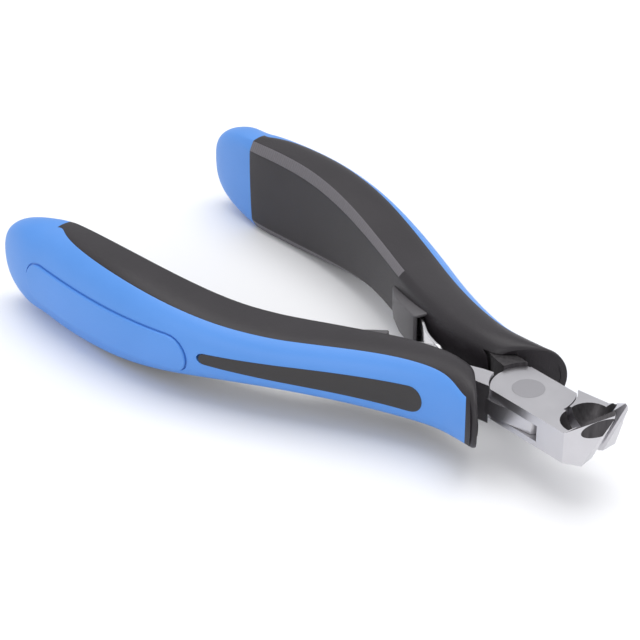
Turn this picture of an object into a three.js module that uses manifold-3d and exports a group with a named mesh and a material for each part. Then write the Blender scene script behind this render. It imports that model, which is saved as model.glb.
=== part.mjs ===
// Mosaic glass nippers: oblique end-cutting nippers with a box joint, held open by two leaf springs.
// Units are millimetres and +Z is up. The origin is on the pivot axis at the flat underside of the box
// joint. +X points to the jaws, +Y to the handle of the box half. The nippers are drawn at rest, open.

import * as THREE from "three";
import { ConvexGeometry } from "three/addons/geometries/ConvexGeometry.js";
import { mergeVertices } from "three/addons/utils/BufferGeometryUtils.js";
import Module from "manifold-3d";

const wasm = await Module();
wasm.setup();

// ---- Driving dimensions -------------------------------------------------------------------------

const OPENING = 8.5;              // degrees between the jaws at rest
const JOINT_WIDTH = 10;           // the box joint, across
const JOINT_THICK = 6;            // the box joint, along the pivot
const BOTTOM_CHEEK = 1.1;         // cheek under the lap plate
const LAP_THICK = 3.0;            // lap plate between the cheeks
const CHEEK_REAR_STEP = 1.5;      // round end of the cheeks at the handles, past the lap plate
const CHEEK_FRONT_STEP = 3.1;     // round end of the cheeks at the far jaw, past the lap plate
const SLOT_STEP = 1.9;            // end wall of the slot, past the lap plate
const RUNNING_GAP = 0.05;         // between the lap plate and each cheek
const TURNING_GAP = 0.2;          // round the lap plate and the cheek ends
const HALF_GAP = 0.15;            // each half to the closing plane, behind the jaws

const RIVET_RADIUS = 2.0;
const RIVET_HEAD_RADIUS = 2.8;
const RIVET_SINK = 0.7;           // depth of the countersunk head
const RIVET_GAP = 0.025;          // round the rivet in the cheeks

const JAW_CORNER = 12.9;          // outer corner of the jaw, ahead of the pivot
const NOSE_CORNER = 15.6;         // lower corner of the nose, ahead of the pivot
const NOSE_HALF_WIDTH = 3.3;      // that corner, from the closing plane
const EDGE_BOTTOM = 15.1;         // lower end of the cutting edge, ahead of the pivot
const EDGE_TIP = 19.5;            // upper end of the cutting edge, ahead of the pivot
const TIP_RISE = 4.8;             // upper end of the cutting edge, above the joint's top
const TIP_THICK = 1.7;            // jaw tip, front to back
const TIP_CROWN = 0.6;            // rounded top of the tip, above the edge's end
const EDGE_GAP = 0.05;            // each cutting edge to the closing plane when closed
const CHAMBER_RADII = [4.2, 4.4, 6.5];  // of the hollow behind the edges: ahead, across, up
const CHAMBER_AHEAD = 12.4;       // middle of that hollow, ahead of the pivot
const CHAMBER_ABOVE = 3;          // and above the joint's top

const NECK_STEP = 0.8;            // necks proud of the joint's flats
const TANG_TOP = 4.4;
const TANG_THICK = 2.6;
const TANG_ACROSS = 0.36;         // share of the grip's width, from its inner edge
const TANG_SHORT = 26;            // end of the tang, ahead of the tail

const GRIP_LENGTH = 108.3;        // pivot to tail
const GRIP_SPREAD = 33.2;         // centre line to the outermost face
const GRIP_HALF_HEIGHT = 10.3;    // at the palm swell
const GRIP_MID_HEAD = 2.6;        // height of a grip's middle at the pivot
const GRIP_MID_TAIL = 1.1;        // and at the tail, where the grips sit a little lower
const GRIP_WALL_GAP = 0.1;        // between mouldings of one grip
const SOCKET_GAP = 0.2;           // round the tang
const SPLIT_ACROSS = 0.74;        // seam of core and shell, share of the width from the inner edge
const GUARD_RIM = 1.8;            // dark rim of the finger guard
const RIM_TURN_ACROSS = 0.89;     // where the seam turns along the rim, same share
const CAP_LENGTH = 17.3;          // all-blue tail

const INLAY_DEPTH = 1.2;
const INLAY_FROM = 13.5;          // ends of the soft inlay, behind the pivot
const INLAY_TO = 51.5;
const INLAY_WIDE = 2.6;           // half height at the head end
const INLAY_NARROW = 1.1;         // half height at the tail end

const BADGE_RAISE = 0.5;
const BADGE_FROM = 54;
const BADGE_SHORT = 12;           // tail end of the pad, ahead of the tail
const BADGE_HALF_HEIGHT = 4.3;

const HOUSING_FROM = 31;          // spring housing, behind the pivot
const HOUSING_TO = 43;
const HOUSING_RISE_HEAD = 1.4;    // inwards from the grip's inner face, at the spring's way out
const HOUSING_RISE_TAIL = 0.6;    // and at the other end
const SEAT_CLEAR = 5;             // reach of the housing's seat out of the core
const HOUSING_SEAT = 1.6;         // sunk in the core
const HOUSING_WALL = 0.65;        // above and below the leaf
const LEAF_THICK = 0.6;
const LEAF_HEIGHT = 5.4;
const LEAF_RISE = 0.1;            // middle of the leaf, inwards from the grip's inner face
const LEAF_ROOT = 41.5;           // behind the pivot
const LEAF_TIP = 19.5;
const LEAF_BEND = [[5.5, 1.65], [2.5, 0.3], [1, 0], [0, 0.1]];  // [behind the tip, off the other leaf]
const LEAF_GAP = 0.15;
const SPRING_RIVET_RADIUS = 0.9;
const SPRING_RIVET_HEAD = 1.6;
const SPRING_HEAD_THICK = 0.5;
const SPRING_RIVET_AT = 36;       // behind the pivot

// Each station of a grip: inner edge [behind, out], outer edge [behind, out], half height. They are
// drawn at the sizes above, and stretch with them from the guard on.
const DRAWN_STATIONS = [
  [[8.6, 2.3], [1.6, 12.1], 6.4],
  [[11.5, 1.9], [5.5, 11.3], 6.8],
  [[16, 2.0], [11.5, 10.9], 6.8],
  [[24, 3.2], [20, 13.8], 6.6],
  [[33, 7.0], [29, 18.0], 6.1],
  [[43, 12.0], [39, 23.4], 5.8],
  [[53, 16.3], [49.5, 28.2], 6.2],
  [[63, 19.3], [60.5, 31.6], 7.6],
  [[73, 21.2], [71.5, 33.0], 9.4],
  [[83, 21.9], [82.5, 33.2], 10.3],
  [[92, 22.2], [92.5, 32.8], 10.1],
  [[100, 22.9], [101, 31.8], 8.6],
  [[105.5, 24.5], [106.2, 30.3], 5.8],
  [[108.3, 26.6], [108.3, 28.2], 1.6],
];
const DRAWN_SPREAD = Math.max(...DRAWN_STATIONS.map((station) => station[1][1]));
const DRAWN_HALF_HEIGHT = Math.max(...DRAWN_STATIONS.map((station) => station[2]));
const DRAWN_GUARD = 16;           // stations up to here keep their place
const GRIP_STATIONS = DRAWN_STATIONS.map(([inner, outer, half]) => {
  const drawnReach = DRAWN_STATIONS.at(-1)[0][0] - DRAWN_GUARD;
  const reach = (x) => Math.max(x - DRAWN_GUARD, 0) / drawnReach;
  const place = ([x, y]) => [
    x + (GRIP_LENGTH - DRAWN_GUARD - drawnReach) * reach(x),
    y + (GRIP_SPREAD - DRAWN_SPREAD) * Math.min(reach(x) * 2, 1),
  ];
  const swell = Math.min(reach(inner[0]) * 2, 1);
  return [place(inner), place(outer), half * (1 + (GRIP_HALF_HEIGHT / DRAWN_HALF_HEIGHT - 1) * swell)];
});
const INNER_SQUARENESS = 2.8;     // superellipse powers of the two sides of a grip
const OUTER_SQUARENESS = 2.4;

// ---- Solids -------------------------------------------------------------------------------------

function solid(geometry) {
  const bare = geometry.index ? geometry.toNonIndexed() : geometry.clone();
  bare.deleteAttribute("normal");
  bare.deleteAttribute("uv");
  const merged = mergeVertices(bare, 1e-4);
  const mesh = new wasm.Mesh({
    numProp: 3,
    vertProperties: new Float32Array(merged.attributes.position.array),
    triVerts: new Uint32Array(merged.index.array),
  });
  return new wasm.Manifold(mesh);
}

// A plan outline of [x, y] points, standing from one height to another.
function plate(points, bottom, top) {
  const turn = THREE.ShapeUtils.area(points.map(([x, y]) => new THREE.Vector2(x, y)));
  const outline = turn < 0 ? [...points].reverse() : points;
  const shape = new THREE.Shape(outline.map(([x, y]) => new THREE.Vector2(x, y)));
  const geometry = new THREE.ExtrudeGeometry(shape, { depth: top - bottom, bevelEnabled: false });
  return solid(geometry.translate(0, 0, bottom));
}

function block(x0, x1, y0, y1, bottom, top) {
  return plate([[x0, y0], [x1, y0], [x1, y1], [x0, y1]], bottom, top);
}

function disc(radius, bottom, top, segments = 48) {
  const geometry = new THREE.CylinderGeometry(radius, radius, top - bottom, segments);
  return solid(geometry.rotateX(Math.PI / 2).translate(0, 0, (bottom + top) / 2));
}

function turned(piece, degrees) {
  return piece.rotate([0, 0, degrees]);
}

function mirrored(piece) {
  return piece.mirror([0, 1, 0]);
}

// ---- The two forged halves, drawn closed about y = 0, then turned open ---------------------------

const halfWidth = JOINT_WIDTH / 2;  // also the radius of the lap plate's round middle
const cheekRear = halfWidth + CHEEK_REAR_STEP;
const cheekFront = halfWidth + CHEEK_FRONT_STEP;
const slotBottom = BOTTOM_CHEEK;
const slotTop = BOTTOM_CHEEK + LAP_THICK + 2 * RUNNING_GAP;
const lapBottom = BOTTOM_CHEEK + RUNNING_GAP;
const lapTop = lapBottom + LAP_THICK;
const FAR = 40;                   // reach of cutting solids
const JOIN = 0.5;                 // overlap of solids that are joined

// The jaw on the -Y side: a wedge whose edge leans forward and rises above the joint.
function jaw() {
  const root = cheekRear - 1;
  const points = [
    [root, -halfWidth, 0], [root, -halfWidth, JOINT_THICK],
    [root, -EDGE_GAP, 0], [root, -EDGE_GAP, JOINT_THICK],
    [JAW_CORNER, -halfWidth, 0], [JAW_CORNER, -halfWidth, JOINT_THICK],
    [NOSE_CORNER, -NOSE_HALF_WIDTH, 0], [EDGE_BOTTOM, -EDGE_GAP, 0],
    [EDGE_TIP, -EDGE_GAP, JOINT_THICK + TIP_RISE],
    [EDGE_TIP - TIP_THICK / 2, -EDGE_GAP, JOINT_THICK + TIP_RISE + TIP_CROWN],
    [EDGE_TIP - TIP_THICK, -EDGE_GAP, JOINT_THICK + TIP_RISE],
  ];
  const wedge = solid(new ConvexGeometry(points.map((p) => new THREE.Vector3(...p))));
  const [rx, ry, rz] = CHAMBER_RADII;
  const hollow = new THREE.SphereGeometry(1, 28, 18).scale(rx, ry, rz);
  return wedge.subtract(solid(hollow.translate(CHAMBER_AHEAD, 0, JOINT_THICK + CHAMBER_ABOVE)));
}

function rivet(widen, lengthen) {
  const profile = [
    [0, -lengthen], [RIVET_HEAD_RADIUS + widen, -lengthen],
    [RIVET_HEAD_RADIUS + widen, 0], [RIVET_RADIUS + widen, RIVET_SINK],
    [RIVET_RADIUS + widen, JOINT_THICK - RIVET_SINK], [RIVET_HEAD_RADIUS + widen, JOINT_THICK],
    [RIVET_HEAD_RADIUS + widen, JOINT_THICK + lengthen], [0, JOINT_THICK + lengthen],
  ];
  const closed = lengthen > 0 ? profile : [profile[0], profile[2], ...profile.slice(3, 6), profile[7]];
  const geometry = new THREE.LatheGeometry(closed.map(([r, z]) => new THREE.Vector2(r, z)), 40);
  return solid(geometry.rotateX(Math.PI / 2));
}

// A bar in plan, of [x, y, half thickness] points along its middle.
function bar(path, extra, bottom, top) {
  const left = [];
  const right = [];
  path.forEach(([x, y, half], i) => {
    const [ax, ay] = path[Math.max(i - 1, 0)];
    const [bx, by] = path[Math.min(i + 1, path.length - 1)];
    const length = Math.hypot(bx - ax, by - ay);
    const across = [-(by - ay) / length, (bx - ax) / length];
    const endwise = i === path.length - 1 ? extra / length : 0;
    const px = x + (bx - ax) * endwise;
    const py = y + (by - ay) * endwise;
    left.push([px + across[0] * (half + extra), py + across[1] * (half + extra)]);
    right.push([px - across[0] * (half + extra), py - across[1] * (half + extra)]);
  });
  return plate([...left, ...right.reverse()], bottom, top);
}

// The neck from the joint to the tang: [x, inner edge, outer edge].
const NECK_EDGES = [
  [-3.5, 0.7, halfWidth - 0.1], [-8, 1.7, halfWidth + 0.5], [-12, 3.1, 6.7], [-17, 4.5, 7.5],
];
const NECK_PATH = NECK_EDGES.map(([x, inner, outer]) => [x, (inner + outer) / 2, (outer - inner) / 2]);

// ---- The grip's outer form -----------------------------------------------------------------------

const innerEdge = new THREE.CatmullRomCurve3(
  GRIP_STATIONS.map(([[x, y], , half]) => new THREE.Vector3(-x, y, half)), false, "centripetal");
const outerEdge = new THREE.CatmullRomCurve3(
  GRIP_STATIONS.map(([, [x, y], half]) => new THREE.Vector3(-x, y, half)), false, "centripetal");

// The height of a grip's middle at a place along X.
function gripMid(x) {
  const tail = GRIP_STATIONS.at(-1)[0][0];
  return GRIP_MID_HEAD + ((GRIP_MID_TAIL - GRIP_MID_HEAD) * -x) / tail;
}

// A point in plan at a share of the grip's length and width, with the half height there.
function gripPoint(along, across, outwards = 0) {
  const inner = innerEdge.getPoint(along);
  const outer = outerEdge.getPoint(along);
  const width = Math.hypot(outer.x - inner.x, outer.y - inner.y);
  return inner.clone().lerp(outer, across + outwards / width);
}

// The share of the length where the grip's inner edge is a distance behind the pivot.
function alongAt(behind, across = 0) {
  let low = 0;
  let high = 1;
  for (let i = 0; i < 40; i += 1) {
    const middle = (low + high) / 2;
    if (-gripPoint(middle, across).x < behind) low = middle;
    else high = middle;
  }
  return (low + high) / 2;
}

// The closed outer form, with its outer face moved out or in by a distance.
function gripForm(outwards = 0, around = 28, steps = 30) {
  const geometry = new THREE.CylinderGeometry(1, 1, 1, around, steps);
  const place = geometry.attributes.position;
  for (let i = 0; i < place.count; i += 1) {
    const along = 0.5 - place.getY(i);
    const reach = Math.min(Math.hypot(place.getX(i), place.getZ(i)), 1);
    const angle = Math.atan2(-place.getZ(i), place.getX(i));
    const side = Math.cos(angle);
    const power = 2 / (side < 0 ? INNER_SQUARENESS : OUTER_SQUARENESS);
    const across = Math.sign(side) * Math.abs(side) ** power * reach;
    const up = Math.sign(Math.sin(angle)) * Math.abs(Math.sin(angle)) ** power * reach;
    const shift = across > 0 ? outwards * across : 0;
    const point = gripPoint(along, 0.5 + across / 2, shift);
    place.setXYZ(i, point.x, point.y, gripMid(point.x) + point.z * up);
  }
  return solid(geometry);
}

// The part of the plan that the dark core takes: the rim of the guard, then the inner side to the cap.
function corePlan(extra) {
  const points = [];
  const rimEnd = alongAt(GRIP_STATIONS[0][1][0] + GUARD_RIM + extra, 1);
  const capStart = alongAt(GRIP_LENGTH - CAP_LENGTH + extra);
  const steps = 26;
  const startOut = GRIP_STATIONS[0][1][1];
  points.push([0, 2 * startOut]);
  for (const across of [1.5, 1, RIM_TURN_ACROSS]) {
    const point = gripPoint(rimEnd, across);
    points.push([point.x, point.y]);
  }
  for (let i = 1; i <= steps; i += 1) {
    const point = gripPoint(rimEnd + ((capStart - rimEnd) * i) / steps, SPLIT_ACROSS, extra);
    points.push([point.x, point.y]);
  }
  for (let i = steps; i >= 0; i -= 1) {
    const point = gripPoint((capStart * i) / steps, -0.5);
    points.push([point.x, point.y]);
  }
  points.push([0, -GRIP_STATIONS[0][0][1]]);
  return plate(points, -FAR, FAR);
}

// An upright zone over the outer face, from a side outline of [behind, height] points.
function sideZone(points) {
  const shape = new THREE.Shape(points.map(([x, z]) => new THREE.Vector2(-x, z + gripMid(-x))));
  const geometry = new THREE.ExtrudeGeometry(shape, { depth: FAR, bevelEnabled: false });
  return solid(geometry.rotateX(Math.PI / 2).translate(0, FAR, 0));
}

// A bar with round ends of two different radii.
function clubOutline(from, to, wide, narrow, extra) {
  const points = [];
  const steps = 10;
  for (let i = 0; i <= steps; i += 1) {
    const angle = Math.PI / 2 + (Math.PI * i) / steps;
    const radius = wide + extra;
    points.push([from + wide + radius * Math.cos(angle), radius * Math.sin(angle)]);
  }
  for (let i = 0; i <= steps; i += 1) {
    const angle = -Math.PI / 2 + (Math.PI * i) / steps;
    const radius = narrow + extra;
    points.push([to - narrow + radius * Math.cos(angle), radius * Math.sin(angle)]);
  }
  return points;
}

// ---- The pieces of one side, drawn on the +Y side -------------------------------------------------

const tangPath = [];
const TANG_STEPS = 12;
const tangStart = alongAt(17, TANG_ACROSS);
const tangEnd = alongAt(GRIP_LENGTH - TANG_SHORT, TANG_ACROSS);
for (let i = 1; i <= TANG_STEPS; i += 1) {
  const point = gripPoint(tangStart + ((tangEnd - tangStart) * i) / TANG_STEPS, TANG_ACROSS);
  tangPath.push([point.x, point.y, TANG_THICK / 2]);
}

function neck(extra) {
  const ends = [NECK_PATH.at(-1), ...tangPath];
  const raised = bar(NECK_PATH, extra, -NECK_STEP - extra, JOINT_THICK + NECK_STEP + extra);
  return raised.add(bar(ends, extra, -NECK_STEP - extra, TANG_TOP + extra));
}

const springMid = gripMid(-SPRING_RIVET_AT);
const housingHalf = LEAF_HEIGHT / 2 + LEAF_GAP + HOUSING_WALL;

// Housing and its seat: a strip along the inner face between two distances behind the pivot.
function innerStrip(from, to, riseHead, riseTail, seat, halfHeight) {
  const front = [];
  const back = [];
  const steps = 8;
  for (let i = 0; i <= steps; i += 1) {
    const along = alongAt(from) + ((alongAt(to) - alongAt(from)) * i) / steps;
    const rise = riseHead + ((riseTail - riseHead) * i) / steps;
    const proud = gripPoint(along, 0, -rise);
    const sunk = gripPoint(along, 0, seat);
    front.push([proud.x, proud.y]);
    back.push([sunk.x, sunk.y]);
  }
  const points = [...front, ...back.reverse()];
  return plate(points, springMid - halfHeight, springMid + halfHeight);
}

function leafPath() {
  const points = [];
  const from = alongAt(LEAF_ROOT);
  const to = alongAt(HOUSING_FROM);
  for (let i = 0; i <= 6; i += 1) {
    const point = gripPoint(from + ((to - from) * i) / 6, 0, -LEAF_RISE);
    points.push(new THREE.Vector3(point.x, point.y, 0));
  }
  const rest = LEAF_THICK / 2 + EDGE_GAP;
  for (const [behindTip, above] of LEAF_BEND) {
    points.push(new THREE.Vector3(-LEAF_TIP - behindTip, rest + above, 0));
  }
  const curve = new THREE.CatmullRomCurve3(points, false, "centripetal");
  return curve.getPoints(30).map((p) => [p.x, p.y, LEAF_THICK / 2]);
}

function leafRoom() {
  const half = LEAF_HEIGHT / 2 + LEAF_GAP;
  return bar(leafPath(), LEAF_GAP, springMid - half, springMid + half);
}

function springRivet(extra) {
  const along = alongAt(SPRING_RIVET_AT);
  const start = gripPoint(along, 0, -LEAF_RISE - LEAF_THICK / 2 - LEAF_GAP);
  const end = gripPoint(along, TANG_ACROSS);
  const length = Math.hypot(end.x - start.x, end.y - start.y);
  const radius = SPRING_RIVET_RADIUS + extra;
  const headRadius = SPRING_RIVET_HEAD + extra;
  const profile = [
    [0, -SPRING_HEAD_THICK - extra], [headRadius, -SPRING_HEAD_THICK - extra], [headRadius, extra],
    [radius, extra], [radius, length + extra], [0, length + extra],
  ];
  const shape = profile.map(([r, z]) => new THREE.Vector2(r, z));
  const geometry = new THREE.LatheGeometry(shape, 20);
  const heading = Math.atan2(end.y - start.y, end.x - start.x);
  geometry.rotateZ(-Math.PI / 2).rotateZ(heading);
  return solid(geometry.translate(start.x, start.y, springMid));
}

const form = gripForm();
const springHole = springRivet(LEAF_GAP);

function housing() {
  const body = innerStrip(HOUSING_FROM, HOUSING_TO, HOUSING_RISE_HEAD, HOUSING_RISE_TAIL,
    HOUSING_SEAT, housingHalf);
  return body.subtract(leafRoom()).subtract(springHole);
}

function leaf() {
  const half = LEAF_HEIGHT / 2;
  return bar(leafPath(), 0, springMid - half, springMid + half).subtract(springHole);
}

function gripCore() {
  const seat = innerStrip(HOUSING_FROM - GRIP_WALL_GAP, HOUSING_TO + GRIP_WALL_GAP, SEAT_CLEAR, SEAT_CLEAR,
    HOUSING_SEAT + GRIP_WALL_GAP, housingHalf + GRIP_WALL_GAP);
  return form.intersect(corePlan(0)).subtract(neck(SOCKET_GAP)).subtract(seat)
    .subtract(leafRoom()).subtract(springHole);
}

function inlayZone(extra) {
  return sideZone(clubOutline(INLAY_FROM, INLAY_TO, INLAY_WIDE, INLAY_NARROW, extra));
}

function gripInlay() {
  return form.intersect(inlayZone(0)).subtract(gripForm(-INLAY_DEPTH))
    .subtract(corePlan(GRIP_WALL_GAP));
}

function gripShell() {
  const pocket = inlayZone(GRIP_WALL_GAP).subtract(gripForm(-INLAY_DEPTH - GRIP_WALL_GAP));
  const badgeZone = sideZone(
    clubOutline(BADGE_FROM, GRIP_LENGTH - BADGE_SHORT, BADGE_HALF_HEIGHT, BADGE_HALF_HEIGHT, 0));
  const badge = gripForm(BADGE_RAISE).intersect(badgeZone);
  return form.add(badge).subtract(corePlan(GRIP_WALL_GAP)).subtract(pocket);
}

// ---- The forged halves ----------------------------------------------------------------------------

const halfOpening = OPENING / 2;

function boxHalf() {
  const rear = disc(cheekRear, 0, JOINT_THICK).intersect(block(-FAR, JOIN, -FAR, FAR, -FAR, FAR));
  const front = disc(cheekFront, 0, JOINT_THICK, 64)
    .intersect(block(0, FAR, -FAR, FAR, -FAR, FAR));
  const cheeks = rear.add(front).intersect(block(-FAR, FAR, -halfWidth, halfWidth, -FAR, FAR));
  const rearWeb = block(-FAR, 0, HALF_GAP, FAR, -FAR, FAR)
    .subtract(disc(halfWidth + TURNING_GAP, -FAR, FAR));
  const slot = block(-FAR, halfWidth + SLOT_STEP, -FAR, FAR, slotBottom, slotTop)
    .add(block(0, FAR, -HALF_GAP, FAR, slotBottom, slotTop))
    .subtract(rearWeb);
  const aboveCheeks = disc(cheekRear + TURNING_GAP, JOINT_THICK, FAR)
    .add(disc(cheekRear + TURNING_GAP, -FAR, 0));
  const head = turned(cheeks.add(jaw()).subtract(slot), -halfOpening);
  const tail = neck(0).subtract(aboveCheeks).subtract(turned(slot, -halfOpening));
  return head.add(tail).subtract(rivet(RIVET_GAP, RIVET_GAP)).subtract(springHole);
}

function lapHalf() {
  const plateMiddle = disc(halfWidth, lapBottom, lapTop)
    .intersect(block(-FAR, FAR, -halfWidth, halfWidth, -FAR, FAR));
  const jawArm = block(0, cheekFront + 1, HALF_GAP, halfWidth, lapBottom, lapTop);
  const armEnd = -cheekRear - 1;
  const neckArm = plate([[0, -HALF_GAP], [armEnd, -HALF_GAP - 0.3], [armEnd, -halfWidth + 0.6],
    [armEnd / 2, -halfWidth], [0, -halfWidth]], lapBottom, lapTop);
  const cheekRoom = (radius) => disc(radius + TURNING_GAP, lapTop, FAR, 64)
    .add(disc(radius + TURNING_GAP, -FAR, lapBottom, 64));
  const farJaw = mirrored(jaw())
    .subtract(cheekRoom(cheekFront));
  const head = turned(plateMiddle.add(jawArm).add(neckArm).add(farJaw), halfOpening);
  const tail = mirrored(neck(0)).subtract(cheekRoom(cheekRear))
    .subtract(disc(halfWidth, -FAR, FAR));
  return head.add(tail)
    .subtract(disc(RIVET_RADIUS + RUNNING_GAP, -FAR, FAR)).subtract(mirrored(springHole));
}

// ---- The assembly ---------------------------------------------------------------------------------

const STEEL = { color: 0xb9b6ba, roughness: 0.28, metalness: 1 };
const SPRING_STEEL = { color: 0xd2d0d4, roughness: 0.2, metalness: 1 };
const BLUE = { color: 0x5f9ff0, roughness: 0.5, metalness: 0 };
const DARK = { color: 0x48464a, roughness: 0.65, metalness: 0 };
const BLACK = { color: 0x2d2a2a, roughness: 0.7, metalness: 0 };
const HOUSING = { color: 0x5a585c, roughness: 0.6, metalness: 0 };

const nippers = new THREE.Group();

function addPiece(name, piece, finish) {
  const { vertProperties, triVerts, numProp } = piece.getMesh();
  const geometry = new THREE.BufferGeometry();
  const places = new Float32Array((vertProperties.length / numProp) * 3);
  for (let i = 0; i < places.length / 3; i += 1) {
    places.set(vertProperties.subarray(i * numProp, i * numProp + 3), i * 3);
  }
  geometry.setAttribute("position", new THREE.BufferAttribute(places, 3));
  geometry.setIndex(new THREE.BufferAttribute(new Uint32Array(triVerts), 1));
  geometry.computeVertexNormals();
  const mesh = new THREE.Mesh(geometry, new THREE.MeshStandardMaterial(finish));
  mesh.name = name;
  nippers.add(mesh);
}

addPiece("box_half", boxHalf(), STEEL);
addPiece("lap_half", lapHalf(), STEEL);
addPiece("pivot_rivet", rivet(0, 0), STEEL);

const sides = [
  ["box_side", (piece) => piece],
  ["lap_side", mirrored],
];
for (const [side, placed] of sides) {
  addPiece(`${side}_grip_core`, placed(gripCore()), DARK);
  addPiece(`${side}_grip_shell`, placed(gripShell()), BLUE);
  addPiece(`${side}_grip_inlay`, placed(gripInlay()), BLACK);
  addPiece(`${side}_spring_housing`, placed(housing()), HOUSING);
  addPiece(`${side}_leaf_spring`, placed(leaf()), SPRING_STEEL);
  addPiece(`${side}_spring_rivet`, placed(springRivet(0)), STEEL);
}

export default nippers;
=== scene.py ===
import math

import bmesh
import bpy
from mathutils import Matrix, Quaternion, Vector


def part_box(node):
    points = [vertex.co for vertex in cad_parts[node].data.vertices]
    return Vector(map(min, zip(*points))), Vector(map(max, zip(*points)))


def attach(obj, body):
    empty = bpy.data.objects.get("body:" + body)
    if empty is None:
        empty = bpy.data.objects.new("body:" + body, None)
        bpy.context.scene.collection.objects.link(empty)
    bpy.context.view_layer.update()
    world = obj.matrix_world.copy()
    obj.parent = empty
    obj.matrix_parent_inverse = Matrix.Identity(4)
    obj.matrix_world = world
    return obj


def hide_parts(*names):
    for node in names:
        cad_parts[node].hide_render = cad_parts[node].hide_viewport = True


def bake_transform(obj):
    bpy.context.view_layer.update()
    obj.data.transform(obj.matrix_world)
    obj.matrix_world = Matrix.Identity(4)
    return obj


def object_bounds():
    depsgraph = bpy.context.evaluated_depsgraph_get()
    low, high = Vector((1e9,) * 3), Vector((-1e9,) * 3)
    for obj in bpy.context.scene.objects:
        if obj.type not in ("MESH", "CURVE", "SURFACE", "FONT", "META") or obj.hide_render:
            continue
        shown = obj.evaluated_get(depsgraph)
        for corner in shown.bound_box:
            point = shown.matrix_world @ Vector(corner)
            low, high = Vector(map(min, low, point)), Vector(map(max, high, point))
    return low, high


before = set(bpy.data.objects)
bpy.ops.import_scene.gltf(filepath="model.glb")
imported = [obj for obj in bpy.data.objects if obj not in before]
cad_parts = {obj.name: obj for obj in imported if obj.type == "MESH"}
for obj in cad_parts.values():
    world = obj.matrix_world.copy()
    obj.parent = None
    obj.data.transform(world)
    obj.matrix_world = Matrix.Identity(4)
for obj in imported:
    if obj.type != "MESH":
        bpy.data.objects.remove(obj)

cad_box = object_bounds()
MM = 0.001

# ---- The table, the lights and the camera ---------------------------------------------------------
# The nippers lie on their grips on a wide pale table, under large soft lights in a bright room.
# The camera stands over the jaws and looks back along the handles with a long lens.

ROOM_COLOUR = (0.96, 0.97, 1.0, 1.0)
ROOM_LIGHT = 0.72
TABLE_SIZE = 6.0
TABLE_DROP = 0.02 * MM            # the table lies this far below the grips

bpy.context.scene.view_settings.view_transform = "Standard"

room = bpy.data.worlds.new("bright_room")
bpy.context.scene.world = room
room.use_nodes = True
room.node_tree.nodes["Background"].inputs["Color"].default_value = ROOM_COLOUR
room.node_tree.nodes["Background"].inputs["Strength"].default_value = ROOM_LIGHT

bpy.ops.mesh.primitive_plane_add(size=TABLE_SIZE, location=(0, 0, cad_box[0].z - TABLE_DROP))
table = bpy.context.object
table.name = "table"

# Each lamp: its name, where it hangs, the side of its square panel, and its power.
LAMPS = [
    ("lamp_over", Vector((-0.10, 0.10, 0.75)), 0.70, 3.6),
    ("lamp_near", Vector((0.10, -0.70, 0.35)), 0.40, 1.2),
    ("lamp_far", Vector((0.45, 0.50, 0.30)), 0.30, 0.9),
]
for lamp_name, spot, size, power in LAMPS:
    bpy.ops.object.light_add(type="AREA", location=spot)
    lamp = bpy.context.object
    lamp.name = lamp_name
    lamp.data.size = size
    lamp.data.energy = power
    lamp.rotation_euler = (spot - (cad_box[0] + cad_box[1]) / 2).to_track_quat("Z", "Y").to_euler()

CAMERA_PLACE = (0.16344, -0.20827, 0.18530)
CAMERA_LENS = 106.3
CAMERA_SENSOR = 36
CAMERA_TURN = math.radians(45.7)
CAMERA_RISE = math.radians(32.2)
CAMERA_ROLL = math.radians(-0.67)
back = Vector((
    math.sin(CAMERA_TURN) * math.cos(CAMERA_RISE),
    -math.cos(CAMERA_TURN) * math.cos(CAMERA_RISE),
    math.sin(CAMERA_RISE),
))
bpy.ops.object.camera_add(location=CAMERA_PLACE)
camera = bpy.context.object
camera.rotation_mode = "QUATERNION"
camera.rotation_quaternion = back.to_track_quat("Z", "Y") @ Quaternion((0, 0, 1), CAMERA_ROLL)
camera.data.lens = CAMERA_LENS
camera.data.sensor_width = CAMERA_SENSOR
bpy.context.scene.camera = camera


class Value:
    """A number that varies over a surface. Sums and products of it add Math nodes to its material."""

    def __init__(self, finish, socket):
        self.finish = finish
        self.socket = socket

    def maths(self, operation, *parts):
        return self.finish.node("ShaderNodeMath", {"operation": operation}, dict(enumerate(parts)))

    def __add__(self, other):
        return self.maths("ADD", self, other)

    def __mul__(self, other):
        return self.maths("MULTIPLY", self, other)

    __radd__ = __add__
    __rmul__ = __mul__


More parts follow.
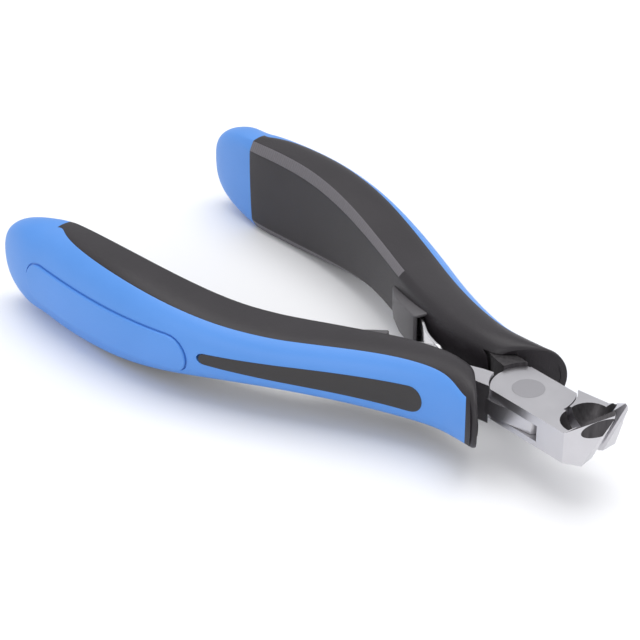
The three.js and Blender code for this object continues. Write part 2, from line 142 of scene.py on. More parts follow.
class Finish:
    """A material: its own settings on the shader, and nodes that vary over the surface."""

    def __init__(self, name, colour, **settings):
        self.material = bpy.data.materials.new(name)
        self.material.use_nodes = True
        self.tree = self.material.node_tree
        self.shader = self.tree.nodes["Principled BSDF"]
        self.shader.inputs["Base Color"].default_value = (*colour, 1)
        for socket, value in settings.items():
            self.shader.inputs[socket.replace("_", " ")].default_value = value
        self.place = self.node("ShaderNodeTexCoord", {}, {}, "Object")

    def put(self, socket, value):
        if isinstance(value, Value):
            self.tree.links.new(value.socket, socket)
        else:
            socket.default_value = value

    def node(self, kind, settings, values, output=0):
        made = self.tree.nodes.new(kind)
        for setting, value in settings.items():
            setattr(made, setting, value)
        for name, value in values.items():
            self.put(made.inputs[name], value)
        return Value(self, made.outputs[output])

    def noise(self, size, detail=3, stretch=(1, 1, 1)):
        """Noise with grains of that size. A stretch below 1 draws them out along that axis."""
        spread = self.node("ShaderNodeMapping", {}, {"Vector": self.place, "Scale": stretch})
        values = {"Vector": spread, "Scale": 1 / size, "Detail": detail}
        return self.node("ShaderNodeTexNoise", {}, values, "Fac")

    def mix(self, share, first, second):
        """A colour between two others."""
        values = {0: share, 6: first, 7: second}
        return self.node("ShaderNodeMix", {"data_type": "RGBA"}, values, 2)

    def colour(self, value):
        self.put(self.shader.inputs["Base Color"], value)

    def roughness(self, value):
        self.put(self.shader.inputs["Roughness"], value)

    def relief(self, height, depth):
        values = {"Height": height, "Distance": depth, "Strength": 1.0}
        self.put(self.shader.inputs["Normal"], self.node("ShaderNodeBump", {}, values, "Normal"))


table_paint = Finish("pale_table", (0.90, 0.90, 0.91), Roughness=0.9)
table_paint.relief(table_paint.noise(4 * MM), 0.05 * MM)
table.data.materials.append(table_paint.material)

# ---- The two forged halves ------------------------------------------------------------------------
# Each half is one steel forging: jaw, joint plate and neck, with its tang inside the grip. The flats
# are ground to a fine satin, the sides are polished, and the hollow behind the edges gets painted shade.

satin = Finish("ground_steel", (0.66, 0.65, 0.67), Metallic=1.0, Roughness=0.3)
scratches = satin.noise(0.35 * MM, 4, (0.06, 1, 1))
cloud = satin.noise(6 * MM, 2)
satin.roughness(0.24 + 0.10 * scratches + 0.08 * cloud)
satin.colour(satin.mix(cloud, (0.54, 0.53, 0.55, 1), (0.62, 0.61, 0.63, 1)))
satin.relief(scratches, 0.006 * MM)

# Painted shade: a dark steel for the hollow, the scoop, the crest's face and the box half's neck.
painted_shade_steel = Finish("steel_painted_shade", (0.12, 0.115, 0.12), Metallic=0.9, Roughness=0.42)
grind = painted_shade_steel.noise(0.5 * MM, 4, (1, 1, 0.1))
painted_shade_steel.roughness(0.34 + 0.2 * grind)
painted_shade_steel.colour(painted_shade_steel.mix(grind, (0.03, 0.028, 0.03, 1), (0.11, 0.104, 0.108, 1)))
painted_shade_steel.relief(grind, 0.01 * MM)

OPENING = math.radians(8.5)       # between the jaws at rest
EDGE_ROUND = 0.13 * MM            # round on every ground edge
FOLD = 28                         # faces that meet at less than this many degrees shade as one
FLAT = 1.5                        # and those that meet at less than this are joined
ONE_CORNER = 0.002 * MM           # corners of a CAD mesh nearer than this are one
ONE_CUT_CORNER = 0.004 * MM       # and those that the cuts leave nearer than this


def only(piece):
    bpy.ops.object.select_all(action="DESELECT")
    piece.select_set(True)
    bpy.context.view_layer.objects.active = piece


def apply_modifier(piece, kind, **settings):
    only(piece)
    modifier = piece.modifiers.new(kind.lower(), kind)
    for setting, value in settings.items():
        setattr(modifier, setting, value)
    bpy.ops.object.modifier_apply(modifier=modifier.name)


def shade(piece, degrees):
    only(piece)
    bpy.ops.object.shade_smooth_by_angle(angle=math.radians(degrees))


def copy_of_node(node, name):
    """A copy of a CAD node's mesh, with its loose triangles merged into faces."""
    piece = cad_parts[node].copy()
    piece.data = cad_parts[node].data.copy()
    for key in list(piece.keys()):
        del piece[key]
    piece.name = name
    piece.parent = None
    piece.data.materials.clear()
    bpy.context.scene.collection.objects.link(piece)
    only(piece)
    bpy.ops.object.mode_set(mode="EDIT")
    bpy.ops.mesh.select_all(action="SELECT")
    bpy.ops.mesh.remove_doubles(threshold=ONE_CORNER)
    bpy.ops.mesh.dissolve_limited(angle_limit=math.radians(FLAT))
    bpy.ops.object.mode_set(mode="OBJECT")
    return piece


def drawn_rings(name, rings):
    """A closed skin of rings: a circle, extruded once for each ring after the first and set in place."""
    bpy.ops.object.select_all(action="DESELECT")
    bpy.ops.mesh.primitive_circle_add(vertices=len(rings[0]), radius=MM)
    piece = bpy.context.object
    piece.name = name
    piece.location = (0, 0, 0)
    bpy.ops.object.mode_set(mode="EDIT")
    bpy.ops.mesh.select_all(action="SELECT")
    for number, places in enumerate(rings):
        if number:
            bpy.ops.mesh.extrude_region_move()
        skin = bmesh.from_edit_mesh(piece.data)
        for corner, place in zip([c for c in skin.verts if c.select], places):
            corner.co = place
        bmesh.update_edit_mesh(piece.data)
    bpy.ops.mesh.edge_face_add()
    skin = bmesh.from_edit_mesh(piece.data)
    skin.verts.ensure_lookup_table()
    for corner in skin.verts:
        corner.select = corner.index < len(rings[0])
    skin.select_flush_mode()
    bmesh.update_edit_mesh(piece.data)
    bpy.ops.mesh.edge_face_add()
    bpy.ops.mesh.select_all(action="SELECT")
    bpy.ops.mesh.normals_make_consistent(inside=False)
    bpy.ops.object.mode_set(mode="OBJECT")
    return piece


def corner_places(part):
    """The places of a corner, or of the corners of an edge or a face, in order."""
    return sorted(tuple(corner.co) for corner in getattr(part, "verts", [part]))


def cut(piece, tool, operation="DIFFERENCE"):
    """The tool cut out of the piece. A cut leaves its parts in any order, so they are sorted by place."""
    apply_modifier(piece, "BOOLEAN", object=tool, operation=operation, solver="EXACT")
    bpy.data.objects.remove(tool)
    skin = bmesh.new()
    skin.from_mesh(piece.data)
    for parts in (skin.verts, skin.edges, skin.faces):
        ranks = {part: rank for rank, part in enumerate(sorted(parts, key=corner_places))}
        parts.sort(key=ranks.get)
    skin.to_mesh(piece.data)
    skin.free()


def prism(name, low_outline, bottom, high_outline, top):
    """A solid between two plan outlines of [ahead, out] points."""
    rings = [[Vector((ahead, out, height)) * MM for ahead, out in outline]
             for outline, height in ((low_outline, bottom), (high_outline, top))]
    return drawn_rings(name, rings)


def ellipsoid(name, middle, radii, turn=Quaternion()):
    bpy.ops.object.select_all(action="DESELECT")
    bpy.ops.mesh.primitive_uv_sphere_add(segments=64, ring_count=40, radius=1, location=middle)
    piece = bpy.context.object
    piece.name = name
    piece.scale = radii
    piece.rotation_mode = "QUATERNION"
    piece.rotation_quaternion = turn
    bpy.ops.object.transform_apply(location=True, rotation=True, scale=True)
    return piece


def flipped(piece):
    """The piece made its own mirror image across the middle plane of the nippers."""
    only(piece)
    bpy.ops.transform.resize(value=(1, -1, 1), center_override=(0, 0, 0))
    bpy.ops.object.transform_apply(location=True, rotation=True, scale=True)
    bpy.ops.object.mode_set(mode="EDIT")
    bpy.ops.mesh.select_all(action="SELECT")
    bpy.ops.mesh.normals_make_consistent(inside=False)
    bpy.ops.object.mode_set(mode="OBJECT")
    return piece


def turned(piece, angle, across):
    """A tool drawn for the closed jaw of the box half, brought to a half's open place."""
    if across < 0:
        flipped(piece)
    piece.data.transform(Matrix.Rotation(angle, 4, "Z"))
    return piece


# The jaw of the box half, closed. Its crest runs from the outer corner to the tip, and its nose is below.
CREST_LOW = Vector((12.9, -5, 6)) * MM
CREST_HIGH = Vector((19.5, -0.05, 10.8)) * MM
NOSE = Vector((15.6, -3.3, 0)) * MM
EDGE_LOW = Vector((15.1, -0.05, 0)) * MM
EDGE_LAND = 0.42 * MM             # the narrow face along the cutting edge
ON_EDGE = 0.02 * MM               # corners this near to the cutting edge are on it
# Behind the crest the jaw slopes down to the joint's top. The outlines lie at its foot and above it.
SLOPE_FOOT = [(4, -5.2), (12.6, -5.2), (14.2, 0), (14.4, 0.6), (4, 0.6)]
SLOPE_HEAD = [(4, -5.2), (17.8, -5.2), (19.4, 0), (19.6, 0.6), (4, 0.6)]
SLOPE_BOTTOM, SLOPE_TOP = 6, 12
# The hollow behind the edges, and the shallow scoop in the front facet, both painted dark as shade.
CHAMBER_MIDDLE = Vector((12.4, 0, 9)) * MM
CHAMBER_RADII = Vector((4.2, 4.4, 6.5)) * MM
SCOOP_ALONG = 0.64                # middle of the scoop, as a share of the crest
SCOOP_DROP = 1.4 * MM             # and below it
SCOOP_RADII = Vector((3.7, 1.38, 0.14)) * MM
PAINTED_SHADE_REACH = 1.05               # faces within this many radii get painted shade
# The crest's narrow face over the scoop gets painted shade in place of the highlight it catches.
CREST_FACE = 1.2 * MM * MM        # the narrow face over the scoop is larger than this
CREST_ACROSS, CREST_UP = -0.7, 0.3  # and leans outwards and upwards by at least this
GUARD_REFLECTION_FROM = -4.6 * MM           # painted reflection of the dark guard on the box half's neck behind this
# The lap plate's round front, from the pivot. The plate ends a little inside the slot's walls.
PLATE_REACH = 6.6
PLATE_SIDE = -4.98
PLATE_BACK = -0.4
PLATE_BOTTOM, PLATE_TOP = 1.16, 4.14
PLATE_STEPS = 20

crest_way = (CREST_HIGH - CREST_LOW).normalized()
facet_out = (NOSE - CREST_LOW).cross(crest_way).normalized()
facet_down = crest_way.cross(facet_out)
scoop_turn = Matrix((crest_way, facet_down, facet_out)).transposed().to_quaternion()
scoop_middle = CREST_LOW.lerp(CREST_HIGH, SCOOP_ALONG) + facet_down * SCOOP_DROP


def off_the_line(place, start, end):
    """How far a place is from the line through two others."""
    along = (end - start).normalized()
    return (place - start - (place - start).dot(along) * along).length


for node, body, across in [("box_half", "box_side", 1), ("lap_half", "lap_side", -1)]:
    turn = -across * OPENING / 2
    half = copy_of_node(node, node + "_forging")
    if node == "lap_half":
        outline = []
        for step in range(PLATE_STEPS):
            angle = step * math.pi / 2 / PLATE_STEPS
            outline.append((PLATE_REACH * math.cos(angle), max(-PLATE_REACH * math.sin(angle), PLATE_SIDE)))
        outline += [(PLATE_BACK, PLATE_SIDE), (PLATE_BACK, 0)]
        plate = prism("plate", outline, PLATE_BOTTOM, outline, PLATE_TOP)
        plate.data.transform(Matrix.Rotation(turn, 4, "Z"))
        cut(half, plate, "UNION")
    cut(half, turned(prism("slope", SLOPE_FOOT, SLOPE_BOTTOM, SLOPE_HEAD, SLOPE_TOP), turn, across))
    cut(half, turned(ellipsoid("scoop", scoop_middle, SCOOP_RADII, scoop_turn), turn, across))
    only(half)
    bpy.ops.object.mode_set(mode="EDIT")
    bpy.ops.mesh.select_all(action="SELECT")
    bpy.ops.mesh.remove_doubles(threshold=ONE_CUT_CORNER)
    bpy.ops.mesh.dissolve_limited(angle_limit=math.radians(FLAT))
    bpy.ops.mesh.select_all(action="DESELECT")
    skin = bmesh.from_edit_mesh(half.data)
    to_closed = Matrix.Scale(across, 4, (0, 1, 0)) @ Matrix.Rotation(-turn, 4, "Z")
    for edge in skin.edges:
        ends = [to_closed @ corner.co for corner in edge.verts]
        edge.select = all(off_the_line(place, EDGE_LOW, CREST_HIGH) < ON_EDGE for place in ends)
    bmesh.update_edit_mesh(half.data)
    bpy.ops.mesh.bevel(offset=EDGE_LAND, affect="EDGES")
    bpy.ops.object.mode_set(mode="OBJECT")
    shade(half, FOLD)
    apply_modifier(half, "BEVEL", width=EDGE_ROUND, segments=2, limit_method="ANGLE",
                   angle_limit=math.radians(FOLD))
    half.data.materials.append(satin.material)
    half.data.materials.append(painted_shade_steel.material)
    for face in half.data.polygons:
        places = [to_closed @ half.data.vertices[corner].co for corner in face.vertices]
        for middle, radii, turn_back in (
            (CHAMBER_MIDDLE, CHAMBER_RADII, Quaternion()),
            (scoop_middle, SCOOP_RADII, scoop_turn.inverted()),
        ):
            spots = [turn_back @ (place - middle) for place in places]
            shares = [math.hypot(spot.x / radii.x, spot.y / radii.y, spot.z / radii.z) for spot in spots]
            # Faces in the hollow or the scoop get the painted shade.
            if max(shares) < PAINTED_SHADE_REACH:
                face.material_index = 1
        facing = to_closed.to_3x3() @ face.normal
        # The crest's narrow face gets painted shade in place of the highlight it catches.
        if facing.y < CREST_ACROSS and facing.z > CREST_UP and face.area > CREST_FACE:
            face.material_index = 1
        # The box half's neck gets a painted reflection of the dark guard.
        if across > 0 and (to_closed @ face.center).x < GUARD_REFLECTION_FROM:
            face.material_index = 1
    shade(half, FOLD)
    apply_modifier(half, "WEIGHTED_NORMAL", keep_sharp=True, weight=80)
    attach(half, body)
    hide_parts(node)

# ---- The rivets -----------------------------------------------------------------------------------
# One steel rivet holds the halves, with countersunk heads ground flush with the joint's flats. A small
# one holds each leaf spring to its tang, hidden in the housing.

rivet_steel = Finish("rivet_steel", (0.46, 0.45, 0.47), Metallic=1.0, Roughness=0.3)
turning = rivet_steel.noise(0.3 * MM, 3)
rivet_steel.roughness(0.26 + 0.12 * turning)
rivet_steel.relief(turning, 0.004 * MM)
for node in ["pivot_rivet", "box_side_spring_rivet", "lap_side_spring_rivet"]:
    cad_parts[node].data.materials.clear()
    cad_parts[node].data.materials.append(rivet_steel.material)

# ---- The grips' outer form ------------------------------------------------------------------------
# Each grip is moulded in two shots on the tang. Its form is drawn ring by ring from the finger guard
# to the tail, and the two shots part along the same rings.

GRIP_END = -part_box("box_side_grip_shell")[0].x / MM
# Each ring: [behind, out] on the inner side, the same on the outer side, half height, flatness.
RINGS = [
    [10.3, 3.0, 1.6, 11.0, 4.7, 0.0],
    [10.2, 2.4, 0.9, 11.8, 5.6, 0.0],
    [10.8, 2.1, 1.5, 12.1, 6.2, 0.0],
    [11.8, 1.95, 3.0, 12.1, 6.55, 0.0],
    [14.2, 1.9, 7.5, 11.1, 6.85, 0.0],
    [17.2, 2.05, 12, 11.0, 6.85, 0.0],
    [24, 3.2, 20, 13.8, 6.65, 0.1],
    [33, 7.0, 29, 18.0, 6.0, 0.5],
    [41, 11.0, 37, 22.3, 5.6, 1.0],
    [44.5, 12.7, 41, 24.3, 5.6, 1.0],
    [53, 16.3, 49.5, 28.2, 6.1, 1.0],
    [63, 19.3, 60.5, 31.7, 8.1, 1.0],
    [73, 21.2, 71.5, 33.1, 9.75, 1.0],
    [81, 21.8, 80.5, 33.3, 10.25, 1.0],
    [87, 22.0, 87, 33.15, 10.3, 1.0],
    [90.6, 22.1, 90.6, 33.0, 10.2, 1.0],
    [92.5, 22.2, 92.5, 32.9, 10.2, 0.9],
    [97, 22.5, 97.5, 32.4, 9.9, 0.5],
    [101.6, 23.2, 102.2, 31.6, 8.8, 0.1],
    [105.6, 24.4, 106.1, 30.4, 6.7, 0.0],
    [108.0, 26.0, 108.1, 28.8, 3.1, 0.0],
]
RIM_RING = 3                      # the blue starts here, behind the dark rim of the guard
STRIPE_RINGS = range(8, 16)
CAP_RING = 16                     # all blue from here
LIP_RING = 1                      # the guard's front edge is creased here
MID_HEAD = 2.3                    # height of a grip's middle at the pivot
MID_TAIL = 1.1                    # and at the tail
# Half of a ring from the inner side over the top: [across, up], soft near the guard, flat behind it.
SOFT_SECTION = [(-1, 0), (-0.96, 0.50), (-0.83, 0.76), (-0.62, 0.92), (-0.32, 1.0), (0.10, 1.0),
                (0.48, 0.93), (0.76, 0.75), (0.95, 0.45), (1.02, 0)]
FLAT_SECTION = [(-1, 0), (-1, 0.48), (-0.985, 0.80), (-0.78, 0.985), (-0.40, 1.0), (0.10, 1.0),
                (0.48, 0.93), (0.76, 0.75), (0.95, 0.45), (1.02, 0)]
CHAMFER_LOW, CHAMFER_HIGH = 2, 3  # the section's points on each side of the chamfer
SEAM = 6                          # and the point where the two shots part
AROUND = 2 * len(SOFT_SECTION) - 2
# The seam leaves its line near the guard's rim and near the tail cap, to round the corners there.
SEAM_ACROSS = {3: 0.84, 4: 0.60, 5: 0.52, 12: 0.43, 13: 0.32, 14: 0.14, 15: -0.14, 16: -0.42}
CHAMFER_CREASE = 0.75
LIP_CREASE = 0.5


def height_on(section, across):
    """The height of the section's upper line at a place across it."""
    for (first, low), (second, high) in zip(section, section[1:]):
        if first < across <= second:
            return low + (high - low) * (across - first) / (second - first)
    return section[-1][1]


def ring_places(number):
    """The points of one ring. Those beside the seam move across with it, and stay on the section."""
    behind_in, out_in, behind_out, out_out, half_height, flatness = RINGS[number]
    inner = Vector((-behind_in, out_in, 0)) * MM
    outer = Vector((-behind_out, out_out, 0)) * MM
    section = [(soft[0] + (flat[0] - soft[0]) * flatness, soft[1] + (flat[1] - soft[1]) * flatness)
               for soft, flat in zip(SOFT_SECTION, FLAT_SECTION)]
    seam_line = section[SEAM][0]
    seam = SEAM_ACROSS.get(number, seam_line)
    half = []
    for index, (across, up) in enumerate(section):
        if index > CHAMFER_HIGH:
            fixed = section[CHAMFER_HIGH if index <= SEAM else -1][0]
            across = fixed + (across - fixed) * (seam - fixed) / (seam_line - fixed)
            up = height_on(section, across)
        half.append((across, up))
    places = []
    for across, up in half + [(across, -up) for across, up in reversed(half[1:-1])]:
        place = inner.lerp(outer, 0.5 + across / 2)
        middle_height = MID_HEAD + (MID_TAIL - MID_HEAD) * -place.x / MM / GRIP_END
        place.z = (middle_height + half_height * up) * MM
        places.append(place)
    return places


grip_form = drawn_rings("grip_form", [ring_places(number) for number in range(len(RINGS))])
crease = grip_form.data.attributes.new("crease_edge", "FLOAT", "EDGE")
CORE, SHELL, STRIPE, NECK_WAY = 0, 1, 2, 3
for edge in grip_form.data.edges:
    rings_met = sorted(corner // AROUND for corner in edge.vertices)
    around_met = {corner % AROUND for corner in edge.vertices}
    flat = min(RINGS[rings_met[0]][5], RINGS[rings_met[1]][5])
    for index in (CHAMFER_LOW, CHAMFER_HIGH):
        if around_met <= {index, AROUND - index} and len(around_met) == 1:
            crease.data[edge.index].value = CHAMFER_CREASE * flat
    if rings_met == [LIP_RING, LIP_RING]:
        crease.data[edge.index].value = LIP_CREASE
for face in grip_form.data.polygons:
    first = min(corner // AROUND for corner in face.vertices)
    spots = [corner % AROUND for corner in face.vertices]
    outside = all(SEAM <= spot <= AROUND - SEAM for spot in spots)
    on_chamfer = {min(spot, AROUND - spot) for spot in spots} == {CHAMFER_LOW, CHAMFER_HIGH}
    if first >= CAP_RING or (outside and first >= RIM_RING):
        face.material_index = SHELL
    elif on_chamfer and first in STRIPE_RINGS:
        face.material_index = STRIPE
for spare in ("core", "shell", "stripe", "neck_way"):
    grip_form.data.materials.append(bpy.data.materials.new(spare))
apply_modifier(grip_form, "SUBSURF", levels=3, render_levels=3)

NECK_HOLE = Vector((-8.4, 3.75, 3.0)) * MM  # middle of the neck's way into the guard
NECK_HOLE_SIZE = Vector((7.5, 4.1, 7.8)) * MM
NECK_HOLE_TURN = math.radians(-14)
bpy.ops.object.select_all(action="DESELECT")
bpy.ops.mesh.primitive_cube_add(size=1, location=NECK_HOLE, rotation=(0, 0, NECK_HOLE_TURN))
neck_hole = bpy.context.object
neck_hole.scale = NECK_HOLE_SIZE
bpy.ops.object.transform_apply(location=True, rotation=True, scale=True)
for spare in grip_form.data.materials:
    neck_hole.data.materials.append(spare)
for face in neck_hole.data.polygons:
    face.material_index = NECK_WAY
cut(grip_form, neck_hole)

# ---- The dark cores of the grips ------------------------------------------------------------------
# The first shot is a dark soft moulding round the tang. It shows on the inner side of each handle and
# as the rim of the finger guard. A lighter ribbed chamfer runs along its inner edges.

dark = Finish("dark_soft_grip", (0.02, 0.017, 0.020), Specular_IOR_Level=0.4)
skin_grain = dark.noise(0.22 * MM, 3)
dark_cloud = dark.noise(9 * MM, 3)
dark.colour(dark.mix(dark_cloud, (0.015, 0.0125, 0.015, 1), (0.024, 0.020, 0.0235, 1)))
dark.roughness(0.36 + 0.16 * skin_grain)
dark.relief(skin_grain, 0.03 * MM)

ribbed = Finish("ribbed_dark_chamfer", (0.15, 0.14, 0.152), Roughness=0.5)
rib_place = ribbed.node("ShaderNodeMapping", {}, {"Vector": ribbed.place, "Scale": (1, 0.45, 0)})
ribs = ribbed.node("ShaderNodeTexWave", {"bands_direction": "X"},
                   {"Vector": rib_place, "Scale": 0.55 / MM, "Distortion": 0.4}, "Fac")
ribbed.colour(ribbed.mix(ribs, (0.125, 0.117, 0.127, 1), (0.145, 0.136, 0.148, 1)))
ribbed.roughness(0.46 + 0.12 * ribs)
ribbed.relief(ribs, 0.05 * MM)

WALL = 1.2 * MM
SEAM_ROUND = 0.16 * MM
SEAM_FOLD = 55                    # edges sharper than this many degrees are rounded
SOFT_FOLD = 50                    # and those sharper than this stay crisp in the shading


def own_copy(piece, name):
    """A copy with a mesh of its own, selected and active."""
    only(piece)
    bpy.ops.object.duplicate()
    made = bpy.context.object
    made.name = name
    return made


def moulding(name, kept):
    """One shot of the grip: its own faces of the form, given a wall and small rounds along the seam."""
    piece = own_copy(grip_form, name)
    bpy.ops.object.mode_set(mode="EDIT")
    bpy.ops.mesh.select_all(action="DESELECT")
    skin = bmesh.from_edit_mesh(piece.data)
    for face in skin.faces:
        face.select = face.material_index not in kept
    bmesh.update_edit_mesh(piece.data)
    bpy.ops.mesh.delete(type="FACE")
    bpy.ops.object.mode_set(mode="OBJECT")
    apply_modifier(piece, "SOLIDIFY", thickness=WALL, offset=-1, use_rim=True)
    apply_modifier(piece, "BEVEL", width=SEAM_ROUND, segments=2, limit_method="ANGLE",
                   angle_limit=math.radians(SEAM_FOLD))
    return piece


def for_side(piece, side, name):
    """A copy of a piece drawn for the box side, mirrored if it is for the lap side."""
    made = own_copy(piece, name)
    return made if side == "box_side" else flipped(made)


def fitted(piece, part):
    """The piece on the box side, with its mirror image on the lap side, each in place of its CAD node."""
    for side in ("box_side", "lap_side"):
        made = for_side(piece, side, f"{side}_{piece.name}")
        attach(made, side)
        if part:
            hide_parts(f"{side}_{part}")
    bpy.data.objects.remove(piece)


core = moulding("soft_core", {CORE, STRIPE})
for index in (CORE, SHELL, STRIPE, NECK_WAY):
    core.data.materials[index] = ribbed.material if index == STRIPE else dark.material
shade(core, SOFT_FOLD)
fitted(core, "grip_core")

# ---- The blue shells of the grips -----------------------------------------------------------------
# The second shot is a blue moulding over the outer side and the whole tail. It has a pocket for the
# soft inlay, and a long raised pad for the palm with a groove round it.

blue = Finish("blue_moulding", (0.115, 0.33, 0.83), Roughness=0.42, Coat_Roughness=0.3)
blue_grain = blue.noise(0.16 * MM, 3)
blue_cloud = blue.noise(14 * MM, 2)
blue.colour(blue.mix(blue_cloud, (0.072, 0.250, 0.66, 1), (0.095, 0.285, 0.73, 1)))
blue.roughness(0.38 + 0.14 * blue_grain)
blue.relief(blue_grain, 0.02 * MM)

PAD = [54, 96.3, 3.9, 4.3]        # head end, tail end, half height at each
PAD_DROP = 1.0                    # the head end hangs lower by this
PAD_GROOVE = 0.5                  # width of the groove round the pad
ABOVE = 60                        # a plate is drawn this far out and then laid on the grip
PLATE_FOLD = 60                   # its edges sharper than this many degrees are rounded

shell = moulding("blue_shell", {SHELL})


def dressed(piece, finish):
    piece.data.materials.clear()
    piece.data.materials.append(finish.material)


def on_the_flank(name, outline, lift, thickness, loops, step, round_edge=0.0, drop=0.0):
    """A plate of that side outline of [behind, height], laid on the grip's outer side.

    Its face is inset in loops, so that it follows the grip, and it stands proud of the grip by its lift.
    """
    bpy.ops.object.select_all(action="DESELECT")
    bpy.ops.mesh.primitive_circle_add(vertices=len(outline), radius=MM, fill_type="NGON")
    plate = bpy.context.object
    plate.name = name
    plate.location = (0, 0, 0)
    for corner, (behind, height) in zip(plate.data.vertices, outline):
        middle_height = MID_HEAD + (MID_TAIL - MID_HEAD) * behind / GRIP_END
        height -= drop * (PAD[1] - behind) / (PAD[1] - PAD[0])
        corner.co = Vector((-behind, ABOVE, middle_height + height)) * MM
    bpy.ops.object.mode_set(mode="EDIT")
    bpy.ops.mesh.select_all(action="SELECT")
    for _ in range(loops):
        bpy.ops.mesh.inset(thickness=step * MM, use_even_offset=False)
    bpy.ops.mesh.select_all(action="SELECT")
    bpy.ops.mesh.quads_convert_to_tris()
    bpy.ops.mesh.normals_make_consistent(inside=False)
    bpy.ops.object.mode_set(mode="OBJECT")
    if plate.data.polygons[0].normal.y < 0:
        bpy.ops.object.mode_set(mode="EDIT")
        bpy.ops.mesh.flip_normals()
        bpy.ops.object.mode_set(mode="OBJECT")
    apply_modifier(plate, "SHRINKWRAP", target=grip_form, wrap_method="PROJECT", use_project_y=True,
                   use_negative_direction=True, use_positive_direction=False)
    for corner in plate.data.vertices:
        corner.co.y += lift * MM
    apply_modifier(plate, "SOLIDIFY", thickness=thickness * MM, offset=-1, use_rim=True)
    if round_edge:
        apply_modifier(plate, "BEVEL", width=round_edge * MM, segments=3, limit_method="ANGLE",
                       angle_limit=math.radians(PLATE_FOLD))
    return plate


def club(start, end, wide, narrow, arc_steps=12, side_steps=26):
    """A bar with round ends of two radii, as [behind, height] points."""
    points = []
    for share in range(arc_steps + 1):
        angle = math.pi / 2 + math.pi * share / arc_steps
        points.append((start + wide + wide * math.cos(angle), wide * math.sin(angle)))
    for share in range(1, side_steps):
        along = share / side_steps
        points.append((start + wide + (end - narrow - start - wide) * along, -wide + (wide - narrow) * along))
    for share in range(arc_steps + 1):
        angle = -math.pi / 2 + math.pi * share / arc_steps
        points.append((end - narrow + narrow * math.cos(angle), narrow * math.sin(angle)))
    for share in range(side_steps - 1, 0, -1):
        along = share / side_steps
        points.append((start + wide + (end - narrow - start - wide) * along, wide - (wide - narrow) * along))
    return points


INLAY = [13.5, 51.5, 2.6, 1.1]    # head end, tail end, half height at each
INLAY_GAP = 0.12                  # between the inlay and the pocket's wall
pocket_outline = club(INLAY[0] - INLAY_GAP, INLAY[1] + INLAY_GAP, INLAY[2] + INLAY_GAP, INLAY[3] + INLAY_GAP)
cut(shell, on_the_flank("pocket", pocket_outline, lift=1.0, thickness=1.9, loops=4, step=0.2))
pad = on_the_flank("palm_pad", club(*PAD), lift=0.45, thickness=1.0, loops=8, step=0.42, round_edge=0.28,
                   drop=PAD_DROP)
groove_outline = club(PAD[0] - PAD_GROOVE, PAD[1] + PAD_GROOVE, PAD[2] + PAD_GROOVE, PAD[3] + PAD_GROOVE)
cut(shell, on_the_flank("groove", groove_outline, lift=1.0, thickness=1.22, loops=8, step=0.42,
                        drop=PAD_DROP))
dressed(shell, blue)
shade(shell, SOFT_FOLD)
dressed(pad, blue)
shade(pad, SOFT_FOLD)
fitted(shell, "grip_shell")
fitted(pad, None)

# ---- The soft inlays ------------------------------------------------------------------------------
# A near-black soft strip lies in a pocket of each blue shell, broad at the guard and narrow behind.

soft_black = Finish("near_black_inlay", (0.026, 0.024, 0.024), Roughness=0.6)
black_grain = soft_black.noise(0.25 * MM, 3)
soft_black.colour(soft_black.mix(black_grain, (0.022, 0.020, 0.020, 1), (0.034, 0.031, 0.031, 1)))
soft_black.roughness(0.5 + 0.2 * black_grain)
soft_black.relief(black_grain, 0.03 * MM)
inlay = on_the_flank("inlay", club(*INLAY), lift=0.08, thickness=0.95, loops=4, step=0.2, round_edge=0.15)
dressed(inlay, soft_black)
shade(inlay, SOFT_FOLD)
fitted(inlay, "grip_inlay")
bpy.data.objects.remove(grip_form)

# ---- The spring housings --------------------------------------------------------------------------
# A hard moulded block stands on the inner face of each grip. The leaf spring comes out of a slot in
# its end, and a rivet under it holds the spring to the tang.

hard_grey = Finish("grey_housing", (0.085, 0.08, 0.085), Roughness=0.45)
grey_grain = hard_grey.noise(0.3 * MM, 3)
hard_grey.colour(hard_grey.mix(grey_grain, (0.075, 0.070, 0.075, 1), (0.105, 0.100, 0.105, 1)))
hard_grey.roughness(0.40 + 0.16 * grey_grain)
hard_grey.relief(grey_grain, 0.02 * MM)


def wall_place(behind, inwards, height):
    """A point that far inwards of the inner wall of the box side's grip."""
    for first, second in zip(RINGS, RINGS[1:]):
        if first[0] <= behind <= second[0]:
            share = (behind - first[0]) / (second[0] - first[0])
            along = Vector((first[0] - second[0], second[1] - first[1], 0)).normalized()
            out = first[1] + (second[1] - first[1]) * share
    return (Vector((-behind, out, height)) + inwards * Vector((-along.y, along.x, 0))) * MM


# Each ring of the block: [behind, proud of the wall, bottom, top].
BLOCK_RINGS = [[28.4, 2.1, -1.3, 6.1], [31, 2.0, -1.4, 5.6], [35, 1.9, -1.6, 4.8], [39, 1.25, -1.8, 4.0],
               [42, 0.3, -1.9, 3.5]]
BLOCK_SEAT = 1.3                  # sunk in the core
BLOCK_ROUND = 0.35 * MM
BLOCK_FOLD = 40
SLOT_WALL = 0.75 * MM
SLOT_DEPTH = 3 * MM
rings = []
for behind, proud, bottom, top in BLOCK_RINGS:
    rings.append([wall_place(behind, proud, bottom), wall_place(behind, proud, top),
                  wall_place(behind, -BLOCK_SEAT, top), wall_place(behind, -BLOCK_SEAT, bottom)])
block = drawn_rings("spring_block", rings)
bpy.ops.object.mode_set(mode="EDIT")
bpy.ops.mesh.select_all(action="DESELECT")
skin = bmesh.from_edit_mesh(block.data)
max(skin.faces, key=lambda face: face.normal.x).select = True
bmesh.update_edit_mesh(block.data)
bpy.ops.mesh.inset(thickness=SLOT_WALL)
bpy.ops.mesh.extrude_region_move()
skin = bmesh.from_edit_mesh(block.data)
for corner in skin.verts:
    if corner.select:
        corner.co.x -= SLOT_DEPTH
        corner.co.y += SLOT_DEPTH / 2
bmesh.update_edit_mesh(block.data)
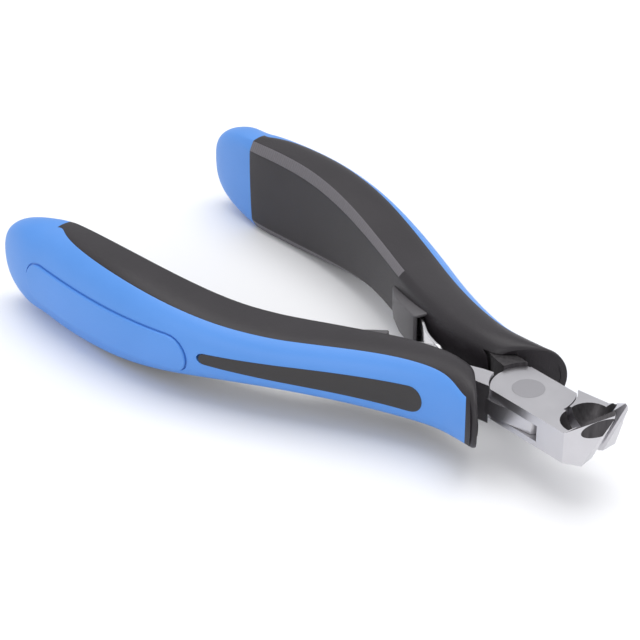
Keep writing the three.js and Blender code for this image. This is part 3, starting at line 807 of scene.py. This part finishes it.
bpy.ops.object.mode_set(mode="OBJECT")
apply_modifier(block, "BEVEL", width=BLOCK_ROUND, segments=3, limit_method="ANGLE",
               angle_limit=math.radians(BLOCK_FOLD))
dressed(block, hard_grey)
shade(block, BLOCK_FOLD)
fitted(block, "spring_housing")

# ---- The leaf springs -----------------------------------------------------------------------------
# Two strips of polished spring steel hold the handles open. Their tips meet at the middle plane.

bright = Finish("spring_steel", (0.78, 0.77, 0.78), Metallic=1.0, Roughness=0.18)
rolling = bright.noise(0.4 * MM, 3, (0.08, 0.08, 1))
bright.roughness(0.14 + 0.12 * rolling)
bright.relief(rolling, 0.004 * MM)

# The strip's middle line, from its root in the block to its tip: [behind, out].
LEAF_PATH = [[40, 11.1], [37, 9.6], [34, 8.0], [31, 6.1], [28, 4.2], [25, 2.0], [22, 0.68], [20.5, 0.36],
             [19.5, 0.42]]
LEAF_STEPS = 6                    # rings from one of those points to the next
LEAF_THICK = 0.6
LEAF_MIDDLE = 2.3                 # height of its middle
LEAF_HALF = 2.8                   # half of its height
LEAF_TIP_CUT, LEAF_TIP = 0.9, 1.6  # the tip's rounding: its depth and its length
SHANK_HALF = 1.5                  # half of its height inside the block, under the rivet
SHANK_FROM, SHANK_TO = 31.5, 33.5
LEAF_ROUND = 0.1 * MM
LEAF_FOLD = 40
BEND_START = Vector((-31, 5.5, 2.1)) * MM  # where the strip leaves its block


def smooth_path(points, steps):
    """Points on a smooth curve through those given."""
    path = []
    ends = [points[0], *points, points[-1]]
    for before, first, second, after in zip(ends, ends[1:], ends[2:], ends[3:]):
        for step in range(steps):
            t = step / steps
            path.append([0.5 * (2 * b + (c - a) * t + (2 * a - 5 * b + 4 * c - d) * t * t
                                + (3 * b - a - 3 * c + d) * t * t * t)
                         for a, b, c, d in zip(before, first, second, after)])
    return path + [points[-1]]


path = [Vector((-behind, out)) for behind, out in smooth_path(LEAF_PATH, LEAF_STEPS)]
rings = []
for number, spot in enumerate(path):
    along = (path[min(number + 1, len(path) - 1)] - path[max(number - 1, 0)]).normalized()
    aside = Vector((-along.y, along.x)) * LEAF_THICK / 2
    from_tip = (spot - path[-1]).length
    half = LEAF_HALF - LEAF_TIP_CUT * max(0, 1 - from_tip / LEAF_TIP) ** 2
    half -= (LEAF_HALF - SHANK_HALF) * min(1, max(0, (-spot.x - SHANK_FROM) / (SHANK_TO - SHANK_FROM)))
    rings.append([Vector((*(spot + side * aside), LEAF_MIDDLE + end * half)) * MM
                  for side, end in ((1, -1), (1, 1), (-1, 1), (-1, -1))])
leaf = drawn_rings("leaf", rings)
apply_modifier(leaf, "BEVEL", width=LEAF_ROUND, segments=2, limit_method="ANGLE",
               angle_limit=math.radians(LEAF_FOLD))
dressed(leaf, bright)
shade(leaf, LEAF_FOLD)
for side, other, across in (("box_side", "lap_side", 1), ("lap_side", "box_side", -1)):
    made = for_side(leaf, side, f"{side}_leaf")
    first = Vector((BEND_START.x, across * BEND_START.y, BEND_START.z))
    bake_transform(made)
    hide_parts(f"{side}_leaf_spring")
bpy.data.objects.remove(leaf)
